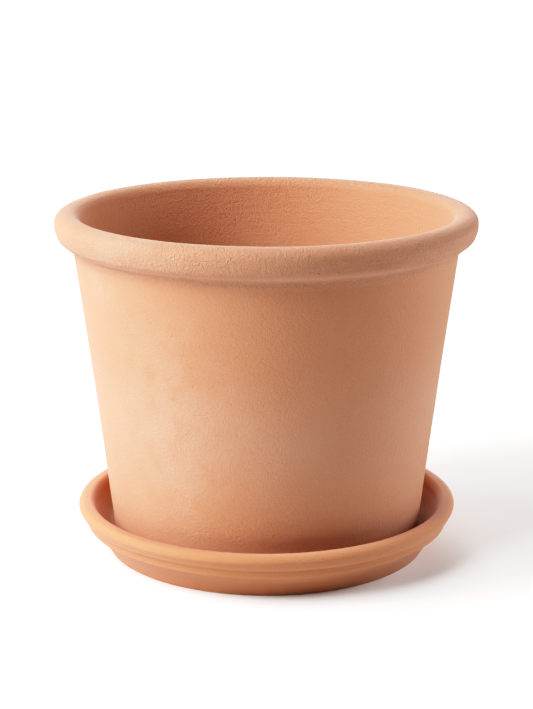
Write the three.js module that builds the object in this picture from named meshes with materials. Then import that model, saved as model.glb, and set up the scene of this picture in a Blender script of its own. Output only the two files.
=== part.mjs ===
// A terracotta flower pot with a rolled rim, standing in its drip saucer.
//
// Millimetres, +Z up. The origin is on the axis of both pieces, on the surface that the saucer
// stands on. Both pieces are turned shapes: each outline is a closed line of (radius, height)
// points, followed with the clay on its left, and is turned once round the axis.

import * as THREE from "three";

// ---- Pot: driving dimensions ----

const RIM_DIAMETER = 200; // across the rolled rim, the widest place of the pot
const POT_HEIGHT = 156; // from the ring that the pot stands on to the crest of the rim
const FOOT_DIAMETER = 149; // across the side, just above the rounded edge of the foot
const POT_WALL = 7.6; // thickness of the side just above the foot, measured level
const WALL_THINNING = 2.2; // how much thinner the side is at the crease under the rim
const SIDE_BOW = 0.4; // how far the side bows in from a straight line, half-way up

const RIM_HEIGHT = 19.1; // from the crease under the rim to the crest
const RIM_OVERHANG = 8.8; // from the crease out to the widest place
const RIM_UNDERCUT_HEIGHT = 6.8; // from the crease up to the lower edge of the rim's face
const RIM_EDGE_INSET = 1.9; // from the widest place in to that edge
const RIM_HOLLOW_REACH = 1.4; // how far the hollow under the rim is eased out of the crease
const RIM_HOLLOW_RISE = 2.3; // and how far up
const RIM_CREST_INSET = 6.2; // from the widest place in to the crest
const RIM_SHOULDER_DROP = 5.2; // from the crest down to the widest place
const RIM_LIP_DROP = 5; // from the crest down to where the inside runs straight

const FOOT_ROUNDING = 4.5; // radius of the edge between the side and the underside
const FOOT_RING_WIDTH = 12; // of the ring that the pot stands on
const POT_RECESS = 1.5; // depth of the underside inside that ring
const POT_FLOOR = 8.5; // thickness of the floor inside that ring
const POT_FILLET = 9; // radius between the floor and the inside of the side
const DRAIN_DIAMETER = 20; // of the hole in the middle of the floor
const DRAIN_CHAMFER = 1.5; // at both mouths of the hole

// ---- Saucer: driving dimensions ----

const SAUCER_HEIGHT = 23.8; // from the underside to the crest of the lip
const SAUCER_FLOOR = 8.5; // thickness of the floor, above the ring that the saucer stands on
const WELL_HOLLOW = 6.6; // how far in from the wall the floor begins to rise into it
const WELL_LEAN = 3.8; // how far the inside of the wall leans out on its way up
const LIP_WIDTH = 8.2; // from the inside of the wall out to the widest place
const LIP_ROUNDING = 3; // radius of the outer shoulder of the lip
const LIP_FLAT = 2; // width of the flat crest, inside that shoulder
const LIP_INSIDE_HEIGHT = 5; // from where the inside of the wall ends to the crest

const GROOVE_DROP = 7.6; // from the crest down to the groove under the lip's bead
const GROOVE_INSET = 3; // from the widest place in to that groove
const BEAD_EDGE_REACH = 2; // from the groove out to the lower edge of the bead
const BEAD_EDGE_RISE = 1.4; // and up to it
const BAND_EDGE_DROP = 11; // from the crest down to the lower edge of the second band
const BAND_EDGE_INSET = 4; // from the widest place in to that edge
const BAND_UNDERCUT = 1.4; // how far the band stands out from the tapered foot
const SAUCER_FOOT_INSET = 14.6; // from the widest place in to the foot
const FOOT_HOLLOW = 0.8; // how far the tapered foot is hollowed in, half-way up
const SAUCER_FOOT_CHAMFER = 0.6;
const SAUCER_RING_WIDTH = 12; // of the ring that the saucer stands on
const SAUCER_RECESS = 1.2; // depth of the underside inside that ring

// ---- Fits between the two ----

const SEAT_GAP = 0.3; // between the saucer's floor and the pot's foot
const WELL_CLEARANCE = 5.1; // from the pot's side out to the saucer's wall, at the floor

// ---- Turning ----

const TURN_STEPS = 64; // facets round each piece
const SIDE_STEPS = 5; // straight steps that stand for the bowed side
const CURVE_STEPS = 4; // steps on a quarter of a round

// ---- Sizes that follow from these ----

const rimRadius = RIM_DIAMETER / 2;
const footRadius = FOOT_DIAMETER / 2;
const creaseRadius = rimRadius - RIM_OVERHANG;

const potFoot = SAUCER_FLOOR + SEAT_GAP;
const potTop = potFoot + POT_HEIGHT;
const creaseHeight = potTop - RIM_HEIGHT;
const sideFoot = potFoot + FOOT_ROUNDING;
const potInnerFloor = potFoot + POT_RECESS + POT_FLOOR;

const wellRadius = footRadius + WELL_CLEARANCE;
const saucerMouthRadius = wellRadius + WELL_LEAN;
const saucerRadius = saucerMouthRadius + LIP_WIDTH;
const saucerFootRadius = saucerRadius - SAUCER_FOOT_INSET;

// ---- Outline helpers ----

const at = (radius, height) => new THREE.Vector2(radius, height);

// An arc of an ellipse between two angles, which are counted in degrees from straight out.
function arc(centre, reach, rise, from, to, steps = CURVE_STEPS) {
  const points = [];
  for (let i = 0; i <= steps; i += 1) {
    const angle = THREE.MathUtils.degToRad(from + ((to - from) * i) / steps);
    points.push(at(centre.x + reach * Math.cos(angle), centre.y + rise * Math.sin(angle)));
  }
  return points;
}

// The radius of the pot's side at a height between the foot and the crease under the rim.
function sideRadius(height) {
  const share = (height - sideFoot) / (creaseHeight - sideFoot);
  const straight = THREE.MathUtils.lerp(footRadius, creaseRadius, share);
  return straight - 4 * SIDE_BOW * share * (1 - share);
}

// The radius of the inside of the side, which comes nearer to the outside on its way up.
function innerRadius(height) {
  const share = (height - sideFoot) / (creaseHeight - sideFoot);
  return sideRadius(height) - POT_WALL + WALL_THINNING * share;
}

// Points on the side between two heights, where radiusAt gives the outer or the inner face.
function side(from, to, radiusAt) {
  const points = [];
  for (let i = 0; i <= SIDE_STEPS; i += 1) {
    const height = THREE.MathUtils.lerp(from, to, i / SIDE_STEPS);
    points.push(at(radiusAt(height), height));
  }
  return points;
}

// Points on a curve that leaves one end and meets the other along the lines through pull.
function sweep(from, pull, to, steps = CURVE_STEPS) {
  return new THREE.QuadraticBezierCurve(from, pull, to).getPoints(steps);
}

// Turns an outline round the axis, which is +Z.
function turned(name, outline, material) {
  const geometry = new THREE.LatheGeometry(outline, TURN_STEPS);
  geometry.rotateX(Math.PI / 2);
  const mesh = new THREE.Mesh(geometry, material);
  mesh.name = name;
  return mesh;
}

// ---- Pot ----

// The rolled rim, from above the crease, over the crest and down to the inside of the side.
function rimOutline() {
  const crease = at(creaseRadius, creaseHeight);
  const hollow = at(crease.x + RIM_HOLLOW_REACH, crease.y + RIM_HOLLOW_RISE);
  const lowerEdge = at(rimRadius - RIM_EDGE_INSET, crease.y + RIM_UNDERCUT_HEIGHT);
  const crest = at(rimRadius - RIM_CREST_INSET, potTop);
  const widest = at(rimRadius, potTop - RIM_SHOULDER_DROP);
  const bulge = at(rimRadius, (lowerEdge.y + widest.y) / 2);
  const lipEnd = potTop - RIM_LIP_DROP;
  const lipReach = crest.x - innerRadius(lipEnd);
  return [
    ...sweep(crease, hollow, lowerEdge).slice(1, -1),
    ...sweep(lowerEdge, bulge, widest).slice(0, -1),
    ...arc(at(crest.x, widest.y), RIM_CREST_INSET, RIM_SHOULDER_DROP, 0, 90),
    ...arc(at(crest.x, lipEnd), lipReach, RIM_LIP_DROP, 90, 180).slice(1),
  ];
}

// The underside, from the rounded edge of the foot in to the lower mouth of the drain hole.
function potUnderside() {
  const ringOuter = footRadius - FOOT_ROUNDING;
  const ringInner = ringOuter - FOOT_RING_WIDTH;
  const drainRadius = DRAIN_DIAMETER / 2;
  const ceiling = potFoot + POT_RECESS;
  return [
    at(drainRadius, ceiling + DRAIN_CHAMFER),
    at(drainRadius + DRAIN_CHAMFER, ceiling),
    at(ringInner - POT_RECESS, ceiling),
    at(ringInner, potFoot),
    ...arc(at(ringOuter, sideFoot), FOOT_ROUNDING, FOOT_ROUNDING, -90, 0).slice(0, -1),
  ];
}

// The inside, from the lip down the side and in over the floor to the drain hole.
function potInside() {
  const filletTop = potInnerFloor + POT_FILLET;
  const filletCentre = at(innerRadius(filletTop) - POT_FILLET, filletTop);
  const drainRadius = DRAIN_DIAMETER / 2;
  return [
    ...side(potTop - RIM_LIP_DROP, filletTop, innerRadius).slice(1),
    ...arc(filletCentre, POT_FILLET, POT_FILLET, 0, -90).slice(1),
    at(drainRadius + DRAIN_CHAMFER, potInnerFloor),
    at(drainRadius, potInnerFloor - DRAIN_CHAMFER),
  ];
}

function makePot() {
  const underside = potUnderside();
  const outline = [
    ...underside,
    ...side(sideFoot, creaseHeight, sideRadius),
    ...rimOutline(),
    ...potInside(),
    underside[0].clone(),
  ];
  const paleClay = new THREE.MeshStandardMaterial({ color: 0xd39a72, roughness: 0.92, metalness: 0 });
  return turned("pot", outline, paleClay);
}

// ---- Saucer ----

// The outside, from the foot up past the second band and the groove to the lip's crest.
function saucerOutside() {
  const foot = at(saucerFootRadius, SAUCER_FOOT_CHAMFER);
  const bandEdge = at(saucerRadius - BAND_EDGE_INSET, SAUCER_HEIGHT - BAND_EDGE_DROP);
  const tuck = at(bandEdge.x - BAND_UNDERCUT, bandEdge.y - BAND_UNDERCUT / 2);
  const groove = at(saucerRadius - GROOVE_INSET, SAUCER_HEIGHT - GROOVE_DROP);
  const beadEdge = at(groove.x + BEAD_EDGE_REACH, groove.y + BEAD_EDGE_RISE);
  const shoulder = at(saucerRadius - LIP_ROUNDING, SAUCER_HEIGHT - LIP_ROUNDING);
  const footMiddle = at((foot.x + tuck.x) / 2 + FOOT_HOLLOW, (foot.y + tuck.y) / 2 - FOOT_HOLLOW);
  return [
    at(foot.x - SAUCER_FOOT_CHAMFER, 0),
    foot,
    footMiddle,
    tuck,
    bandEdge,
    ...sweep(groove, beadEdge, at(saucerRadius, shoulder.y)).slice(0, -1),
    ...arc(shoulder, LIP_ROUNDING, LIP_ROUNDING, 0, 90),
  ];
}

// The inside, from the lip's crest down the wall to the middle of the floor.
function saucerInside() {
  const wallTop = at(saucerMouthRadius, SAUCER_HEIGHT - LIP_INSIDE_HEIGHT);
  const crest = at(saucerRadius - LIP_ROUNDING - LIP_FLAT, SAUCER_HEIGHT);
  const floorEdge = at(wellRadius - WELL_HOLLOW, SAUCER_FLOOR);
  return [
    ...arc(at(crest.x, wallTop.y), crest.x - wallTop.x, LIP_INSIDE_HEIGHT, 90, 180),
    ...sweep(wallTop, at(wellRadius, SAUCER_FLOOR), floorEdge, CURVE_STEPS + 2).slice(1),
    at(0, SAUCER_FLOOR),
  ];
}

// The underside, from its middle out to the ring that the saucer stands on.
function saucerUnderside() {
  const ringInner = saucerFootRadius - SAUCER_FOOT_CHAMFER - SAUCER_RING_WIDTH;
  return [
    at(0, SAUCER_RECESS),
    at(ringInner - SAUCER_RECESS, SAUCER_RECESS),
    at(ringInner, 0),
  ];
}

function makeSaucer() {
  const outline = [...saucerUnderside(), ...saucerOutside(), ...saucerInside()];
  const warmClay = new THREE.MeshStandardMaterial({ color: 0xcf8d60, roughness: 0.88, metalness: 0 });
  return turned("saucer", outline, warmClay);
}

// ---- Assembly ----

const pottedSet = new THREE.Group();
pottedSet.name = "pot_and_saucer";
pottedSet.add(makePot(), makeSaucer());

export default pottedSet;
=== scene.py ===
import math

import bpy
from bpy.props import FloatProperty, FloatVectorProperty, IntProperty, PointerProperty
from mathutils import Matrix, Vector


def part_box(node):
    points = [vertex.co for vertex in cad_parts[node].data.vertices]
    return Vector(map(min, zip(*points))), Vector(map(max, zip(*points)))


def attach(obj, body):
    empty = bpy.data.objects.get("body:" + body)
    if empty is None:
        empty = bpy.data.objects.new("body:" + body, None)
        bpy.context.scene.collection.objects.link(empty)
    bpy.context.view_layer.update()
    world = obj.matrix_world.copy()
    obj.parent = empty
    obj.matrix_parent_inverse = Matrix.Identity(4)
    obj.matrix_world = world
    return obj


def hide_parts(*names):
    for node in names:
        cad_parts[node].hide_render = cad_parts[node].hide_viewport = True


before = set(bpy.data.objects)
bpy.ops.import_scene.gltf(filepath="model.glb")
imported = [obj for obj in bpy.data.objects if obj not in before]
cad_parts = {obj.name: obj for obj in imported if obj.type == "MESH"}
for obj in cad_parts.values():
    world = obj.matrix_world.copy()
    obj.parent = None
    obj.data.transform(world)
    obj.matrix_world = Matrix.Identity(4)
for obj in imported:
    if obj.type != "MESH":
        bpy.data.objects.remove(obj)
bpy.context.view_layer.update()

bl_info = {
    "name": "Clay Flower Pot",
    "version": (1, 0, 0),
    "blender": (4, 5, 0),
    "location": "View3D > Sidebar > Clay Pot",
    "description": "Turns a clay flower pot with a rolled rim and the drip saucer it stands in",
    "category": "Object",
}

POT_LOW, POT_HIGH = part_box("pot")
SAUCER_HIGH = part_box("saucer")[1]
MM = 0.001
# Two points of an outline that are nearer than this are one point.
SAME_POINT = 0.01 * MM
# Room that the rim leaves inside the CAD box for its dents.
DENT_ROOM = 0.15 * MM

# Small places and steps on the outlines, outward and upward in millimetres.
COVE_STEPS = ((0.1, 0.5), (0.3, 1.5), (0.7, 1.2), (1.4, 0.9))
RIDGE_LOW, RIDGE_HIGH = (-0.15, -0.25), (0.3, 0.2)
RIM_FACE = ((-1.9, -7.1), (-0.9, -5.1), (-0.15, -2.6))
FOOT_FLARE = ((2.2, 4), (5.2, 8))
TUCK_DROP = 1.0
BAND_EDGE = ((-0.3, -0.3), (0.1, 0.2), (0.3, 0.9))
BAND_FACE = (0.8, 2.4)
BEAD_STEPS = ((0.5, 0.4), (0.9, 0.8), (0.35, 0.7))
BEAD_TOP = (-0.3, -0.9)

# The colour inputs and output of the mixing node.
MIX_FIRST, MIX_SECOND, MIX_RESULT = 6, 7, 2

# What both clays share: colours, lengths in millimetres, and shares of 1.
SMUDGE = (0.20, 0.105, 0.065)
SPECK = (0.30, 0.09, 0.04)
PIT = (0.15, 0.055, 0.03)
INNER_FACE = (-5.0, -3.0)
BEAD_BLUR = 2.0
RING_DRIFT = 0.02
STREAK_STRETCH = (0.1, 0.1, 1.0)
BLOTCH_SHIFT, GRAIN_SHIFT = (31.0, 7.0, 53.0), (5.0, 17.0, 3.0)
PIT_SHIFT, SPECK_SHIFT = (3.0, 5.0, 7.0), (9.0, 2.0, 4.0)
NOISE_MIDDLE = 0.5
CLOUD_MIDDLE = 0.45
MOTTLE = (0.35, 0.6)
DRAG = (0.4, 0.6)
STREAK_TINT = 0.5
# Painted highlights along edges: their blur in millimetres and their least strength.
HIGHLIGHT_BLUR = (0.2, 1.0)
HIGHLIGHT_LEAST = 0.4
DOT_LEAST = 0.4
PATCH_CORE = 0.1
SPECK_SHOW, SPECK_BEAD_SHOW, PIT_SHOW = 0.45, 0.4, 0.8
PIMPLE_HEIGHT, PIT_DEPTH, SPECK_DEPTH = 0.09, 0.2, 0.03
RING_LEAST = 0.15

# The place that every light points at.
LIT_POINT = Vector((0, 0, 0.08))
SENSOR_WIDTH = 36.0
# The curve of the colour management that acts on all channels at once.
COMBINED_CURVE = 3
# The film: its contrast, the light that comes out white, and the lights its curve is drawn at.
FILM_CONTRAST = 1.32
FILM_WHITE = 2.4
FILM_STOPS = (0.03, 0.08, 0.16, 0.28, 0.45, 0.65, 0.9, 1.2, 1.6, 2.1)


# ---------------------------------------------------------------- settings

def length(name, description, default):
    """A size in metres that the sidebar shows as a distance."""
    return FloatProperty(name=name, description=description, default=default, min=0.0,
                         precision=5, subtype="DISTANCE", unit="LENGTH")


def colour(name, description, default):
    """A colour in scene-linear values."""
    return FloatVectorProperty(name=name, description=description, default=default,
                               min=0.0, max=1.0, size=3, subtype="COLOR")


def power(name, description, default):
    """The power of a light in watts."""
    return FloatProperty(name=name, description=description, default=default, min=0.0, unit="POWER")


class PotSettings(bpy.types.PropertyGroup):
    """Sizes and clay of the flower pot."""

    rim_radius: length("Rim radius", "From the axis to the widest place of the rim",
                       POT_HIGH.x - DENT_ROOM)
    top: length("Crest height", "Height of the rim's crest", POT_HIGH.z - DENT_ROOM)
    foot: length("Foot height", "Height of the ring that the pot stands on", POT_LOW.z)
    foot_radius: length("Foot radius", "Radius of the side just above the foot", 74.5 * MM)
    wall: length("Wall", "Thickness of the side just above the foot", 7.6 * MM)
    thinning: length("Thinning", "How much thinner the side is under the rim", 2.2 * MM)
    side_bow: length("Side bow", "How far the side bows in half-way up", 0.4 * MM)
    rim_height: length("Rim height", "From the crease under the rim to its crest", 19.1 * MM)
    rim_overhang: length("Rim overhang", "From the crease out to the widest place", 8.8 * MM)
    undercut: length("Undercut", "From the crease up to the ridge of the rim's lower edge", 4.8 * MM)
    edge_inset: length("Edge inset", "From the widest place in to that ridge", 4.5 * MM)
    shoulder_width: length("Shoulder width", "From the widest place in to the crest", 6.2 * MM)
    shoulder_drop: length("Shoulder drop", "From the crest down to the widest place", 5.2 * MM)
    lip_drop: length("Lip drop", "From the crest down to the straight inside", 5 * MM)
    foot_round: length("Foot rounding", "Radius of the edge of the foot", 4.5 * MM)
    ring_width: length("Foot ring", "Width of the ring that the pot stands on", 12 * MM)
    recess: length("Recess", "Depth of the underside inside the ring", 1.5 * MM)
    floor: length("Floor", "Thickness of the floor", 8.5 * MM)
    fillet: length("Fillet", "Radius between the floor and the inside", 9 * MM)
    drain_radius: length("Drain radius", "Radius of the hole in the floor", 10 * MM)
    drain_round: length("Drain rounding", "Rounding of the hole's mouths", 1.5 * MM)
    clay: colour("Clay", "Main colour of the fired clay", (0.455, 0.188, 0.096))
    # Pale clay is also laid on the left front as painted light.
    pale_clay: colour("Pale clay", "Colour where the clay fired paler", (0.485, 0.241, 0.151))
    # Laid on low down: partly the clay's own redder colour, partly painted shade.
    red_clay: colour("Red clay", "Colour towards the foot", (0.43, 0.144, 0.068))


class SaucerSettings(bpy.types.PropertyGroup):
    """Sizes and clay of the saucer."""

    radius: length("Radius", "From the axis to the widest place of the lip", SAUCER_HIGH.x)
    height: length("Height", "From the underside to the crest of the lip", SAUCER_HIGH.z)
    floor: length("Floor", "Thickness of the floor", 8.5 * MM)
    well_lean: length("Wall lean", "How far the inside of the wall leans out", 3.8 * MM)
    well_hollow: length("Well hollow", "From the wall in to where the floor is flat", 6.6 * MM)
    lip_width: length("Lip width", "From the inside of the wall to the widest place", 8.2 * MM)
    lip_flat: length("Lip flat", "Width of the flat crest", 2 * MM)
    shoulder: length("Shoulder radius", "Radius of the outer shoulder of the lip", 3 * MM)
    lip_inside: length("Lip inside", "From the end of the inner wall to the crest", 5 * MM)
    bead_drop: length("Groove drop", "From the crest to the groove under the bead", 7.7 * MM)
    bead_inset: length("Groove inset", "From the widest place in to the groove", 3.1 * MM)
    band_drop: length("Band drop", "From the crest to the band's lower edge", 11.2 * MM)
    band_inset: length("Band inset", "From the widest place in to that edge", 4.1 * MM)
    band_undercut: length("Band undercut", "How far the band stands out from the foot", 1.4 * MM)
    foot_inset: length("Foot inset", "From the widest place in to the foot", 14.6 * MM)
    foot_round: length("Foot rounding", "Rounding of the edge of the foot", 0.6 * MM)
    ring_width: length("Foot ring", "Width of the ring that the saucer stands on", 12 * MM)
    recess: length("Recess", "Depth of the underside inside the ring", 1.2 * MM)
    clay: colour("Clay", "Main colour of the fired clay", (0.455, 0.171, 0.073))
    pale_clay: colour("Pale clay", "Colour where the clay fired paler", (0.470, 0.193, 0.094))
    # Laid on in the low places: partly the clay's own redder colour, partly painted shade.
    red_clay: colour("Red clay", "Colour in the low places", (0.43, 0.139, 0.0545))


class StageSettings(bpy.types.PropertyGroup):
    """Camera, floor and lights."""

    distance: length("Camera distance", "From the camera to the place it looks at", 0.913)
    elevation: FloatProperty(name="Elevation", description="How far the camera looks down",
                             default=math.radians(14.46), subtype="ANGLE", unit="ROTATION")
    aim_height: length("Aim height", "Height that the camera looks at", 93.41 * MM)
    lens: FloatProperty(name="Lens", description="Focal length on a 36 mm sensor",
                        default=96.38, subtype="DISTANCE_CAMERA")
    floor_radius: length("Floor radius", "Size of the round pale floor", 0.9)
    floor_tint: colour("Floor", "Colour of the floor", (0.92, 0.92, 0.92))
    floor_glow: colour("Floor glow", "Colour that the floor throws onto the object", (0.7, 0.7, 0.7))
    light_distance: length("Light distance", "From the middle of the object to each light", 1.3)
    light_size: length("Light size", "Side of each square light", 0.8)
    key: power("Key light", "Power of the soft light in front, at the left", 49.0)
    side: power("Side light", "Power of the low soft light at the left", 24.0)
    high_side: power("High side light", "Power of the high soft light at the left", 9.0)
    fill: power("Fill light", "Power of the low soft light at the right", 29.0)
    back: power("Back light", "Power of the low soft light behind", 32.0)
    high_back: power("High back light", "Power of the high soft light behind, at the left", 7.0)
    backdrop: FloatProperty(name="Backdrop", description="Brightness of what is seen past the floor",
                            default=3.0, min=0.0)
    facets: IntProperty(name="Facets", description="Facets round each turned piece",
                        default=360, min=64)


# ---------------------------------------------------------------- outlines

def arc(centre, reach, rise, start, end, steps):
    """Points on part of an ellipse; the angles are in degrees, counted from straight out."""
    points = []
    for i in range(steps + 1):
        angle = math.radians(start + (end - start) * i / steps)
        points.append((centre[0] + reach * math.cos(angle), centre[1] + rise * math.sin(angle)))
    return points


def straight(start, end, steps):
    """Evenly spaced points on a straight line."""
    return [(start[0] + (end[0] - start[0]) * i / steps, start[1] + (end[1] - start[1]) * i / steps)
            for i in range(steps + 1)]


def sweep(start, pull, end, steps):
    """Points on a curve that leaves start and meets end along the lines through pull."""
    points = []
    for i in range(steps + 1):
        t = i / steps
        a, b, c = (1 - t) ** 2, 2 * t * (1 - t), t * t
        points.append((a * start[0] + b * pull[0] + c * end[0], a * start[1] + b * pull[1] + c * end[1]))
    return points


def chain(*stretches):
    """Joins stretches of an outline, leaving out a point that repeats the one before it."""
    outline = []
    for stretch in stretches:
        for point in stretch:
            if not outline or math.dist(outline[-1], point) > SAME_POINT:
                outline.append(point)
    return outline


def path(start, *steps):
    """Points reached from start by steps outward and upward in millimetres, one after another."""
    points = [start]
    for out, up in steps:
        points.append((points[-1][0] + out * MM, points[-1][1] + up * MM))
    return points


def around(point, *offsets):
    """Points that lie the given millimetres outward and upward from one point."""
    return [(point[0] + out * MM, point[1] + up * MM) for out, up in offsets]


def smooth(points, steps):
    """A smooth line through points: each stretch is bent by the points on either side of it."""
    ends = [points[0], *points, points[-1]]
    line = []
    for before, start, end, after in zip(ends, ends[1:], ends[2:], ends[3:]):
        for i in range(steps):
            t = i / steps
            line.append(tuple(0.5 * (2 * q + (r - p) * t + (2 * p - 5 * q + 4 * r - w) * t ** 2
                                     + (3 * q - p - 3 * r + w) * t ** 3)
                              for p, q, r, w in zip(before, start, end, after)))
    return line + [points[-1]]


def side_share(pot, height):
    """How far up the side a height is: 0 just above the foot, 1 at the crease under the rim."""
    low = pot.foot + pot.foot_round
    return (height - low) / (pot.top - pot.rim_height - low)


def side_radius(pot, height):
    """Radius of the pot's outer side at a height between the foot and the crease."""
    share = side_share(pot, height)
    crease = pot.rim_radius - pot.rim_overhang
    straight_side = pot.foot_radius + (crease - pot.foot_radius) * share
    return straight_side - 4 * pot.side_bow * share * (1 - share)


def inner_radius(pot, height):
    """Radius of the inside of the side, which comes nearer to the outside on its way up."""
    return side_radius(pot, height) - pot.wall + pot.thinning * side_share(pot, height)


def side(pot, start, end, radius_at, steps):
    """One face of the pot's side between two heights."""
    heights = [start + (end - start) * i / steps for i in range(steps + 1)]
    return [(radius_at(pot, height), height) for height in heights]


def rim_outline(pot):
    """The rolled rim, from the crease over the ridge, the face and the crest to the inside."""
    crease = (pot.rim_radius - pot.rim_overhang, pot.top - pot.rim_height)
    ridge = (pot.rim_radius - pot.edge_inset, crease[1] + pot.undercut)
    widest = (pot.rim_radius, pot.top - pot.shoulder_drop)
    crest = pot.rim_radius - pot.shoulder_width
    lip_end = pot.top - pot.lip_drop
    cove = path(crease, *COVE_STEPS)
    under_ridge, over_ridge = around(ridge, RIDGE_LOW, RIDGE_HIGH)
    return chain(
        smooth(cove, steps=3),
        smooth([cove[-1], under_ridge, over_ridge], steps=3),
        smooth([over_ridge, *around(widest, *RIM_FACE), widest], steps=5),
        arc((crest, widest[1]), pot.shoulder_width, pot.shoulder_drop, 0, 90, steps=16),
        arc((crest, lip_end), crest - inner_radius(pot, lip_end), pot.lip_drop, 90, 180, steps=14))


def pot_outline(pot):
    """The pot's outline, from the lower mouth of the drain hole round and back to it."""
    ring_outer = pot.foot_radius - pot.foot_round
    ring_inner = ring_outer - pot.ring_width
    ceiling = pot.foot + pot.recess
    floor_top = ceiling + pot.floor
    hole, rounding = pot.drain_radius, pot.drain_round
    side_low = pot.foot + pot.foot_round

    underside = chain(
        arc((hole + rounding, ceiling + rounding), rounding, rounding, 180, 270, steps=4),
        straight((hole + rounding, ceiling), (ring_inner - pot.recess, ceiling), steps=9),
        straight((ring_inner - pot.recess, ceiling), (ring_inner, pot.foot), steps=3),
        straight((ring_inner, pot.foot), (ring_outer, pot.foot), steps=5),
        arc((ring_outer, side_low), pot.foot_round, pot.foot_round, -90, 0, steps=9))

    lip_end = pot.top - pot.lip_drop
    fillet_top = floor_top + pot.fillet
    middle = fillet_top + (lip_end - fillet_top) * 0.5
    fillet_radius = inner_radius(pot, fillet_top) - pot.fillet
    inside = chain(
        side(pot, lip_end, middle, inner_radius, steps=34),
        side(pot, middle, fillet_top, inner_radius, steps=18),
        arc((fillet_radius, fillet_top), pot.fillet, pot.fillet, 0, -90, steps=8),
        straight((fillet_radius, floor_top), (hole + rounding, floor_top), steps=8),
        arc((hole + rounding, floor_top - rounding), rounding, rounding, 90, 180, steps=4),
        straight((hole, floor_top - rounding), (hole, ceiling + rounding), steps=3))

    outside = side(pot, side_low, pot.top - pot.rim_height, side_radius, steps=96)
    return chain(underside, outside, rim_outline(pot), inside)


def saucer_outline(saucer):
    """The saucer's outline, from the middle of its underside round to the middle of its floor."""
    foot_radius = saucer.radius - saucer.foot_inset
    rounding = saucer.foot_round
    ring_inner = foot_radius - rounding - saucer.ring_width
    underside = chain(
        straight((0, saucer.recess), (ring_inner - saucer.recess, saucer.recess), steps=14),
        straight((ring_inner - saucer.recess, saucer.recess), (ring_inner, 0), steps=3),
        straight((ring_inner, 0), (foot_radius - rounding, 0), steps=6))

    band = (saucer.radius - saucer.band_inset, saucer.height - saucer.band_drop)
    groove = (saucer.radius - saucer.bead_inset, saucer.height - saucer.bead_drop)
    shoulder = (saucer.radius - saucer.shoulder, saucer.height - saucer.shoulder)
    tuck = (band[0] - saucer.band_undercut, band[1] - TUCK_DROP * MM)
    band_edge = around(band, *BAND_EDGE)
    bead = path(groove, *BEAD_STEPS)
    widest = (saucer.radius, shoulder[1])
    outside = chain(
        arc((foot_radius - rounding, rounding), rounding, rounding, -90, 0, steps=3),
        smooth([(foot_radius, rounding), *around((foot_radius, 0), *FOOT_FLARE), tuck], steps=6),
        smooth([tuck, *band_edge], steps=4),
        smooth([band_edge[-1], *around(band, BAND_FACE), groove], steps=4),
        smooth(bead, steps=3),
        smooth([bead[-1], *around(widest, BEAD_TOP), widest], steps=4),
        arc(shoulder, saucer.shoulder, saucer.shoulder, 0, 90, steps=10))

    wall_top = saucer.height - saucer.lip_inside
    mouth = saucer.radius - saucer.lip_width
    crest = shoulder[0] - saucer.lip_flat
    well = mouth - saucer.well_lean
    inside = chain(
        arc((crest, wall_top), crest - mouth, saucer.lip_inside, 90, 180, steps=12),
        sweep((mouth, wall_top), (well, saucer.floor), (well - saucer.well_hollow, saucer.floor), steps=14),
        straight((well - saucer.well_hollow, saucer.floor), (0, saucer.floor), steps=42))
    return chain(underside, outside, inside)


# ---------------------------------------------------------------- turning

def turn(name, outline, facets):
    """Draws an outline point by point, spins it once round the axis and closes the seam."""
    bpy.ops.object.select_all(action="DESELECT")
    bpy.ops.mesh.primitive_plane_add(size=MM, location=(0, 0, 0))
    piece = bpy.context.object
    piece.name = name
    piece.data.name = name
    bpy.ops.object.mode_set(mode="EDIT")
    bpy.ops.mesh.select_all(action="SELECT")
    bpy.ops.mesh.merge(type="CENTER")
    bpy.ops.transform.translate(value=(outline[0][0], 0, outline[0][1]))
    for here, there in zip(outline, outline[1:]):
        step = (there[0] - here[0], 0, there[1] - here[1])
        bpy.ops.mesh.extrude_region_move(TRANSFORM_OT_translate={"value": step})
    bpy.ops.mesh.select_all(action="SELECT")
    bpy.ops.mesh.spin(steps=facets, angle=math.tau, center=(0, 0, 0), axis=(0, 0, 1))
    bpy.ops.mesh.select_all(action="SELECT")
    bpy.ops.mesh.remove_doubles(threshold=SAME_POINT)
    bpy.ops.mesh.normals_make_consistent(inside=False)
    bpy.ops.object.mode_set(mode="OBJECT")
    bpy.ops.object.shade_smooth()
    return piece


def weigh(piece, name, weight):
    """Adds a vertex group whose weight is worked out from each point's radius and height."""
    group = piece.vertex_groups.new(name=name)
    for vertex in piece.data.vertices:
        x, y, z = vertex.co
        group.add([vertex.index], weight(math.hypot(x, y), z), "REPLACE")


def ramp(value, low, high):
    """0 below low, 1 above high and smooth between."""
    share = min(max((value - low) / (high - low), 0.0), 1.0)
    return share * share * (3 - 2 * share)


def roughen(piece, label, grain, depth, group, squeeze=(1.0, 1.0, 1.0)):
    """Pushes the surface in and out by soft noise; squeeze shortens its grain along an axis."""
    texture = bpy.data.textures.new(label, "CLOUDS")
    texture.noise_scale = grain
    texture.noise_depth = 2
    texture.noise_basis = "BLENDER_ORIGINAL"
    bpy.ops.object.select_all(action="DESELECT")
    bpy.ops.object.empty_add(location=(0, 0, 0))
    guide = bpy.context.object
    guide.scale = squeeze
    bpy.context.view_layer.update()
    bpy.ops.object.select_all(action="DESELECT")
    bpy.context.view_layer.objects.active = piece
    piece.select_set(True)
    displace = piece.modifiers.new(label, "DISPLACE")
    displace.texture = texture
    displace.texture_coords = "OBJECT"
    displace.texture_coords_object = guide
    displace.mid_level = 0.5
    displace.strength = depth
    displace.vertex_group = group
    bpy.ops.object.modifier_apply(modifier=displace.name)
    bpy.data.objects.remove(guide)
    bpy.data.textures.remove(texture)


# ---------------------------------------------------------------- clay

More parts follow.
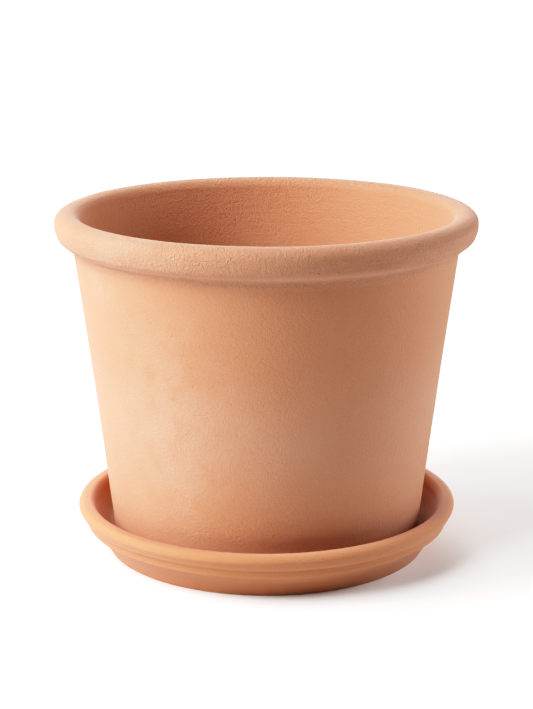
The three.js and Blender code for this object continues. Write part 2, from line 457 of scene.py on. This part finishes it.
def add(tree, kind, inputs=None, **settings):
    """A node with its settings and inputs; an input is a value or another node's socket."""
    node = tree.nodes.new(kind)
    for key, value in settings.items():
        setattr(node, key, value)
    for key, value in (inputs or {}).items():
        if isinstance(value, bpy.types.NodeSocket):
            tree.links.new(value, node.inputs[key])
        else:
            node.inputs[key].default_value = value
    return node


def maths(tree, operation, first, second=0.0):
    """One sum on two values or sockets."""
    return add(tree, "ShaderNodeMath", {0: first, 1: second}, operation=operation).outputs[0]


def times(tree, *factors):
    """The product of several values or sockets."""
    product = factors[0]
    for factor in factors[1:]:
        product = maths(tree, "MULTIPLY", product, factor)
    return product


def plus(tree, *terms):
    """The sum of several values or sockets."""
    total = terms[0]
    for term in terms[1:]:
        total = maths(tree, "ADD", total, term)
    return total


def less(tree, first, second):
    """The first value or socket less the second."""
    return maths(tree, "SUBTRACT", first, second)


def vector(tree, operation, first, second):
    """One sum on two vectors or sockets."""
    return add(tree, "ShaderNodeVectorMath", {0: first, 1: second}, operation=operation).outputs[0]


def fade(tree, value, low, high):
    """A socket that runs smoothly from 0 at low to 1 at high."""
    return add(tree, "ShaderNodeMapRange", {"Value": value, "From Min": low, "From Max": high},
               interpolation_type="SMOOTHSTEP").outputs["Result"]


def blend(tree, factor, first, second):
    """Two colours mixed by a factor."""
    node = add(tree, "ShaderNodeMix", {"Factor": factor}, data_type="RGBA")
    for index, value in ((MIX_FIRST, first), (MIX_SECOND, second)):
        if isinstance(value, bpy.types.NodeSocket):
            tree.links.new(value, node.inputs[index])
        else:
            node.inputs[index].default_value = (*value, 1.0)
    return node.outputs[MIX_RESULT]


def noise(tree, place, grain, detail=2.0, roughness=0.5):
    """Soft noise round 0.5 whose blots are about grain across."""
    return add(tree, "ShaderNodeTexNoise", {"Vector": place, "Scale": 1.0 / grain, "Detail": detail,
                                            "Roughness": roughness}).outputs["Fac"]


def dots(tree, place, spacing, share, inner, outer):
    """Round dots scattered at random; share of the cells hold one, from inner to outer wide."""
    cells = add(tree, "ShaderNodeTexVoronoi", {"Vector": place, "Scale": 1.0 / spacing})
    pick = add(tree, "ShaderNodeSeparateColor", {0: cells.outputs["Color"]})
    chosen = maths(tree, "LESS_THAN", pick.outputs[0], share)
    near = less(tree, 1.0, fade(tree, cells.outputs["Distance"], inner / spacing, outer / spacing))
    strength = plus(tree, DOT_LEAST, times(tree, 1.0 - DOT_LEAST, pick.outputs[1]))
    return times(tree, chosen, near, strength)


def patch(tree, place, centre, reach):
    """1 at a centre, falling to 0 at the ends of a rounded region of the given reaches."""
    offset = vector(tree, "DIVIDE", vector(tree, "SUBTRACT", place, centre), reach)
    distance = add(tree, "ShaderNodeVectorMath", {0: offset}, operation="LENGTH").outputs["Value"]
    return less(tree, 1.0, fade(tree, distance, PATCH_CORE, 1.0))


def fired_clay(name, tones, settings):
    """Unglazed fired clay; every size is in millimetres of the object's own coordinates.

    A patch or a smudge is a centre, a reach and a share; an edge with a painted highlight is a height and a
    share.
    """
    material = bpy.data.materials.new(name)
    material.use_nodes = True
    tree = material.node_tree
    tree.nodes.clear()
    metres = add(tree, "ShaderNodeTexCoord").outputs["Object"]
    place = vector(tree, "MULTIPLY", metres, (1 / MM, 1 / MM, 1 / MM))
    xyz = add(tree, "ShaderNodeSeparateXYZ", {"Vector": place})
    height = xyz.outputs["Z"]
    level = vector(tree, "MULTIPLY", place, (1.0, 1.0, 0.0))
    radius = add(tree, "ShaderNodeVectorMath", {0: level}, operation="LENGTH").outputs["Value"]

    # Where a place is: inside is 1 on the inner face, bead is 1 outside, above the bead's lower edge.
    low, high = settings["side_low"], settings["side_high"]
    slope = (high[0] - low[0]) / (high[1] - low[1])
    outer = plus(tree, low[0] - slope * low[1], times(tree, slope, height))
    inside = less(tree, 1.0, fade(tree, less(tree, radius, outer), *INNER_FACE))
    outside = less(tree, 1.0, inside)
    over_edge = fade(tree, height, settings["bead"] - BEAD_BLUR, settings["bead"] + BEAD_BLUR)
    bead = times(tree, over_edge, outside)

    # The marks in the clay, from the turning and from the firing.
    drawn = add(tree, "ShaderNodeCombineXYZ", {
        "X": plus(tree, times(tree, xyz.outputs["X"], RING_DRIFT), radius),
        "Y": times(tree, xyz.outputs["Y"], RING_DRIFT), "Z": height}).outputs[0]
    drawn_out = vector(tree, "MULTIPLY", place, STREAK_STRETCH)
    rings = noise(tree, drawn, grain=2.2, detail=3.0, roughness=0.65)
    streaks = noise(tree, drawn_out, grain=1.6, detail=3.0, roughness=0.6)
    clouds = noise(tree, place, grain=46.0, detail=2.0, roughness=0.5)
    blotches = noise(tree, vector(tree, "ADD", place, BLOTCH_SHIFT), grain=11.0, detail=3.0, roughness=0.55)
    leather = noise(tree, place, grain=1.5, detail=2.0, roughness=0.6)
    grain = noise(tree, vector(tree, "ADD", place, GRAIN_SHIFT), grain=0.62, detail=1.0, roughness=0.6)
    pimples = dots(tree, place, spacing=3.4, share=settings["pimples"], inner=0.1, outer=0.75)
    pits = dots(tree, vector(tree, "ADD", place, PIT_SHIFT), spacing=4.2, share=settings["pits"],
                inner=0.1, outer=0.5)
    specks = dots(tree, vector(tree, "ADD", place, SPECK_SHIFT), spacing=2.6, share=settings["specks"],
                  inner=0.1, outer=0.55)

    # The colour: paler in the belt, the bead and the patches, redder at the foot and inside.
    sway = times(tree, less(tree, clouds, NOISE_MIDDLE), settings["sway"])
    risen = plus(tree, height, sway)
    red_low, red_high = settings["red_below"]
    foot = less(tree, 1.0, fade(tree, risen, red_low, red_high))
    middle, spread = settings["pale_belt"]
    belt = times(tree, fade(tree, risen, middle - spread, middle),
                 less(tree, 1.0, fade(tree, risen, middle, middle + spread)))
    bloom = plus(tree, times(tree, belt, settings["belt_share"]),
                 times(tree, bead, settings["bead_share"]),
                 times(tree, less(tree, clouds, CLOUD_MIDDLE), settings["cloud_share"]),
                 times(tree, less(tree, blotches, NOISE_MIDDLE), settings["blotch_share"]))
    # Pale patches: partly a bloom in the clay, partly painted light on the left front, where the key light
    # falls.
    for centre, reach, share in settings["bloom_and_painted_light_patches"]:
        mottle = fade(tree, blotches, *MOTTLE)
        bloom = plus(tree, bloom, times(tree, patch(tree, place, centre, reach), mottle, share))
    colour_now = blend(tree, maths(tree, "MAXIMUM", bloom, 0.0), tones.clay, tones.pale_clay)
    # Redder and darker low down: partly a redder clay, partly painted shade and painted bounce light from
    # the saucer at the pot's foot, and painted shade on the saucer's downward foot and in its well.
    redness = plus(tree, times(tree, foot, settings["foot_red_and_shade"]),
                   times(tree, inside, settings["inside_share"]),
                   times(tree, less(tree, streaks, NOISE_MIDDLE), inside, STREAK_TINT),
                   times(tree, less(tree, rings, NOISE_MIDDLE), settings["ring_tint"]),
                   times(tree, less(tree, leather, NOISE_MIDDLE), settings["leather_tint"]))
    colour_now = blend(tree, maths(tree, "MAXIMUM", redness, 0.0), colour_now, tones.red_clay)

    # Lighter and darker grain and turning marks, and painted highlights: thin pale lines along edges, where
    # light catches them.
    shade = plus(tree, 1.0, times(tree, less(tree, grain, NOISE_MIDDLE), settings["grain_tint"]),
                 times(tree, less(tree, rings, NOISE_MIDDLE), bead, settings["ring_shade"]))
    # Each such edge gets a painted highlight: a thin band round its height, outside only, made lighter.
    for edge, share in settings["painted_highlight_edges"]:
        away = maths(tree, "ABSOLUTE", less(tree, height, edge))
        edge_highlight = times(tree, less(tree, 1.0, fade(tree, away, *HIGHLIGHT_BLUR)), outside)
        shade = plus(tree, shade, times(tree, edge_highlight, plus(tree, HIGHLIGHT_LEAST, leather), share))
    colour_now = vector(tree, "MULTIPLY", colour_now, add(tree, "ShaderNodeCombineXYZ", {
        "X": shade, "Y": shade, "Z": shade}).outputs[0])

    # Smudges, specks and pits lie over the colour.
    for centre, reach, share in settings["smudges"]:
        drag = fade(tree, streaks, *DRAG)
        smudge = times(tree, patch(tree, place, centre, reach), drag, share)
        colour_now = blend(tree, smudge, colour_now, SMUDGE)
    speck_share = plus(tree, SPECK_SHOW, times(tree, bead, SPECK_BEAD_SHOW))
    colour_now = blend(tree, times(tree, specks, speck_share), colour_now, SPECK)
    colour_now = blend(tree, times(tree, pits, PIT_SHOW), colour_now, PIT)

    # The relief: the leathery skin and the grain are lifted at the foot, inside and on the bead.
    lift = plus(tree, 1.0, times(tree, foot, settings["foot_relief"]),
                times(tree, inside, settings["inside_relief"]),
                times(tree, bead, settings["bead_relief"]))
    ring_share = plus(tree, RING_LEAST, times(tree, bead, 1.0 - RING_LEAST))
    surface = plus(tree, times(tree, leather, settings["leather"], lift),
                   times(tree, grain, settings["grain"], lift),
                   times(tree, pimples, PIMPLE_HEIGHT), times(tree, pits, -PIT_DEPTH),
                   times(tree, specks, -SPECK_DEPTH),
                   times(tree, rings, settings["ring_depth"], ring_share),
                   times(tree, streaks, inside, settings["streak_depth"]))
    bump = add(tree, "ShaderNodeBump", {"Height": surface, "Strength": 1.0, "Distance": MM})

    rough = add(tree, "ShaderNodeMapRange", {"Value": blotches, "To Min": 0.84, "To Max": 0.96})
    shader = add(tree, "ShaderNodeBsdfPrincipled", {
        "Base Color": colour_now, "Roughness": rough.outputs["Result"], "Normal": bump.outputs["Normal"],
        "Specular IOR Level": 0.5, "Sheen Weight": 0.1, "Sheen Roughness": 0.5})
    out = add(tree, "ShaderNodeOutputMaterial")
    tree.links.new(shader.outputs["BSDF"], out.inputs["Surface"])
    return material


def dress(piece, material, body, node):
    """Gives a finished piece its clay and its place in the frame."""
    piece.data.materials.clear()
    piece.data.materials.append(material)
    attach(piece, body)
    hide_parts(node)


# ---------------------------------------------------------------- operators

class TURN_OT_pot(bpy.types.Operator):
    """Turn the flower pot"""

    bl_idname = "clay.turn_pot"
    bl_label = "Turn Pot"

    def execute(self, context):
        pot = context.scene.clay_pot
        piece = turn("fired_pot", pot_outline(pot), context.scene.clay_stage.facets)
        crease = pot.top - pot.rim_height
        weigh(piece, "free", lambda r, z: ramp(z, low=pot.foot + 1 * MM, high=pot.foot + 8 * MM))
        weigh(piece, "rim", lambda r, z: ramp(z, low=crease - 1 * MM, high=crease + 1 * MM))
        roughen(piece, "out of round", grain=90 * MM, depth=0.5 * MM, group="free")
        roughen(piece, "dents", grain=16 * MM, depth=0.10 * MM, group="free")
        roughen(piece, "turning marks", grain=1.0, depth=0.07 * MM, group="rim",
                squeeze=(60 * MM, 60 * MM, 2.6 * MM))
        roughen(piece, "lumps", grain=3.6 * MM, depth=0.06 * MM, group="free")
        clay = fired_clay("Pale fired clay", pot, {
            "side_low": (pot.foot_radius / MM, pot.foot / MM),
            "side_high": ((pot.rim_radius - pot.rim_overhang) / MM, crease / MM),
            "bead": crease / MM,
            # A painted highlight along the ridge under the rim.
            "painted_highlight_edges": (((crease + pot.undercut) / MM + 0.2, 0.16),),
            "pimples": 0.30, "pits": 0.035, "specks": 0.10,
            "sway": 30.0, "red_below": (22.0, 52.0), "pale_belt": (74.0, 42.0),
            "belt_share": 0.45, "bead_share": 0.35, "cloud_share": 0.9, "blotch_share": 0.3,
            # Partly a bloom in the clay, partly painted light on the left front, where the key light falls.
            "bloom_and_painted_light_patches": (((-75.0, -50.0, 138.0), (16.0, 16.0, 10.0), 0.6),
                             ((-45.0, -75.0, 80.0), (50.0, 50.0, 80.0), 0.45),
                             ((-60.0, -76.0, 160.0), (50.0, 45.0, 14.0), 0.5)),
            # A redder foot: partly the clay's colour, partly painted shade and painted bounce light where
            # the saucer closes round it.
            "foot_red_and_shade": 0.10, "inside_share": 0.0, "ring_tint": 0.12, "leather_tint": 0.3,
            "smudges": (((50.0, -86.0, 155.0), (34.0, 30.0, 6.0), 0.22),),
            "foot_relief": 0.2, "inside_relief": 0.5, "bead_relief": 2.2,
            "grain_tint": 0.3, "ring_shade": 0.15,
            "leather": 0.18, "grain": 0.22, "ring_depth": 0.05, "streak_depth": 0.22})
        dress(piece, clay, "pot", "pot")
        return {"FINISHED"}


class TURN_OT_saucer(bpy.types.Operator):
    """Turn the drip saucer"""

    bl_idname = "clay.turn_saucer"
    bl_label = "Turn Saucer"

    def execute(self, context):
        saucer = context.scene.clay_saucer
        piece = turn("fired_saucer", saucer_outline(saucer), context.scene.clay_stage.facets)
        weigh(piece, "free", lambda r, z: (ramp(z, low=1.0 * MM, high=6 * MM)
                                           * ramp(r, low=78 * MM, high=82 * MM)))
        roughen(piece, "out of round", grain=80 * MM, depth=0.4 * MM, group="free")
        roughen(piece, "turning marks", grain=1.0, depth=0.06 * MM, group="free",
                squeeze=(50 * MM, 50 * MM, 2.2 * MM))
        clay = fired_clay("Warm fired clay", saucer, {
            "side_low": ((saucer.radius - saucer.foot_inset) / MM, 0.0),
            "side_high": (saucer.radius / MM, saucer.height / MM),
            "bead": (saucer.height - saucer.bead_drop) / MM,
            # Painted highlights along the bead's lower edge and the band's lower edge.
            "painted_highlight_edges": (((saucer.height - saucer.bead_drop) / MM + 1.6, 0.1),
                           ((saucer.height - saucer.band_drop) / MM + 0.4, 0.1)),
            "pimples": 0.10, "pits": 0.03, "specks": 0.08,
            "sway": 6.0, "red_below": (2.0, 13.0), "pale_belt": (30.0, 8.0),
            "belt_share": 0.2, "bead_share": 0.3, "cloud_share": 0.8, "blotch_share": 0.4,
            "bloom_and_painted_light_patches": (),
            # A redder foot and well: partly the clay's colour, partly painted shade in these low places.
            "foot_red_and_shade": 0.45, "inside_share": 0.2, "ring_tint": 0.2, "leather_tint": 0.15,
            "smudges": (((84.0, -30.0, 21.0), (14.0, 30.0, 4.0), 0.2),),
            "foot_relief": 0.0, "inside_relief": 0.0, "bead_relief": 0.6,
            "grain_tint": 0.3, "ring_shade": 0.1,
            "leather": 0.10, "grain": 0.14, "ring_depth": 0.05, "streak_depth": 0.02})
        dress(piece, clay, "saucer", "saucer")
        return {"FINISHED"}


def soft_light(stage, name, watts, azimuth, elevation):
    """A square soft light round the object, its azimuth counted from the right towards the back."""
    turned, raised = math.radians(azimuth), math.radians(elevation)
    towards = Vector((math.cos(raised) * math.cos(turned), math.cos(raised) * math.sin(turned),
                      math.sin(raised)))
    bpy.ops.object.select_all(action="DESELECT")
    bpy.ops.object.light_add(type="AREA", location=LIT_POINT + towards * stage.light_distance)
    lamp = bpy.context.object
    lamp.name = name
    lamp.data.name = name
    lamp.data.shape = "SQUARE"
    lamp.data.size = stage.light_size
    lamp.data.energy = watts
    lamp.rotation_euler = towards.to_track_quat("Z", "Y").to_euler()
    lamp.visible_camera = False


def film_curve(view, white):
    """Gives the picture the soft shoulder of a camera, reaching full white at the given light."""
    view.view_transform = "Standard"
    view.use_curve_mapping = True
    curves = view.curve_mapping
    curves.white_level = (white, white, white)
    film = curves.curves[COMBINED_CURVE]
    for light in FILM_STOPS:
        film.points.new(light / white, 1 - math.exp(-light ** FILM_CONTRAST))
    curves.update()


class STAGE_OT_studio(bpy.types.Operator):
    """Set up the camera, the pale floor and the soft lights"""

    bl_idname = "clay.set_stage"
    bl_label = "Set Stage"

    def execute(self, context):
        stage = context.scene.clay_stage
        aim = Vector((0, 0, stage.aim_height))
        back = Vector((0, -math.cos(stage.elevation), math.sin(stage.elevation)))
        bpy.ops.object.select_all(action="DESELECT")
        bpy.ops.object.camera_add(location=aim + back * stage.distance)
        camera = context.object
        camera.name = "camera"
        camera.rotation_euler = back.to_track_quat("Z", "Y").to_euler()
        camera.data.sensor_width = SENSOR_WIDTH
        camera.data.lens = stage.lens
        camera.data.clip_end = 20.0
        context.scene.camera = camera

        bpy.ops.object.select_all(action="DESELECT")
        bpy.ops.mesh.primitive_circle_add(vertices=128, radius=stage.floor_radius, fill_type="NGON")
        floor = context.object
        floor.name = "pale_floor"
        paper = bpy.data.materials.new("Pale paper")
        paper.use_nodes = True
        shader = paper.node_tree.nodes["Principled BSDF"]
        # The paper is whiter for the camera than for the light that it throws on the clay.
        paper_seen = add(paper.node_tree, "ShaderNodeLightPath").outputs["Is Camera Ray"]
        tint = blend(paper.node_tree, paper_seen, stage.floor_glow, stage.floor_tint)
        paper.node_tree.links.new(tint, shader.inputs["Base Color"])
        shader.inputs["Roughness"].default_value = 1.0
        shader.inputs["Specular IOR Level"].default_value = 0.0
        floor.data.materials.append(paper)

        soft_light(stage, "key", stage.key, azimuth=210, elevation=40)
        soft_light(stage, "side", stage.side, azimuth=180, elevation=15)
        soft_light(stage, "fill", stage.fill, azimuth=15, elevation=15)
        soft_light(stage, "high side", stage.high_side, azimuth=180, elevation=40)
        soft_light(stage, "back", stage.back, azimuth=90, elevation=15)
        soft_light(stage, "high back", stage.high_back, azimuth=120, elevation=40)

        world = bpy.data.worlds.new("studio")
        world.use_nodes = True
        context.scene.world = world
        tree = world.node_tree
        tree.nodes.clear()
        # The backdrop is there for the camera only, and lights nothing.
        seen = add(tree, "ShaderNodeLightPath").outputs["Is Camera Ray"]
        glow = times(tree, seen, stage.backdrop)
        light = add(tree, "ShaderNodeBackground", {"Color": (1, 1, 1, 1), "Strength": glow})
        out = add(tree, "ShaderNodeOutputWorld")
        tree.links.new(light.outputs[0], out.inputs["Surface"])
        film_curve(context.scene.view_settings, FILM_WHITE)
        return {"FINISHED"}


class STAGE_PT_sidebar(bpy.types.Panel):
    """The settings and the steps of the clay pot"""

    bl_idname = "CLAY_PT_sidebar"
    bl_label = "Clay Pot"
    bl_space_type = "VIEW_3D"
    bl_region_type = "UI"
    bl_category = "Clay Pot"

    def draw(self, context):
        layout = self.layout
        for group, operator in (("clay_stage", "clay.set_stage"), ("clay_pot", "clay.turn_pot"),
                                ("clay_saucer", "clay.turn_saucer")):
            settings = getattr(context.scene, group)
            column = layout.column()
            for name in settings.__annotations__:
                column.prop(settings, name)
            layout.operator(operator)


CLASSES = (PotSettings, SaucerSettings, StageSettings, TURN_OT_pot, TURN_OT_saucer, STAGE_OT_studio,
           STAGE_PT_sidebar)


def register():
    """Adds the classes and the settings."""
    for item in CLASSES:
        bpy.utils.register_class(item)
    bpy.types.Scene.clay_pot = PointerProperty(type=PotSettings)
    bpy.types.Scene.clay_saucer = PointerProperty(type=SaucerSettings)
    bpy.types.Scene.clay_stage = PointerProperty(type=StageSettings)


def unregister():
    """Takes the settings and the classes away again."""
    for name in ("clay_stage", "clay_saucer", "clay_pot"):
        delattr(bpy.types.Scene, name)
    for item in reversed(CLASSES):
        bpy.utils.unregister_class(item)


def main():
    """Makes the stage and the pieces."""
    register()
    bpy.ops.clay.set_stage()
    bpy.ops.clay.turn_pot()
    bpy.ops.clay.turn_saucer()


if __name__ == "__main__":
    main()
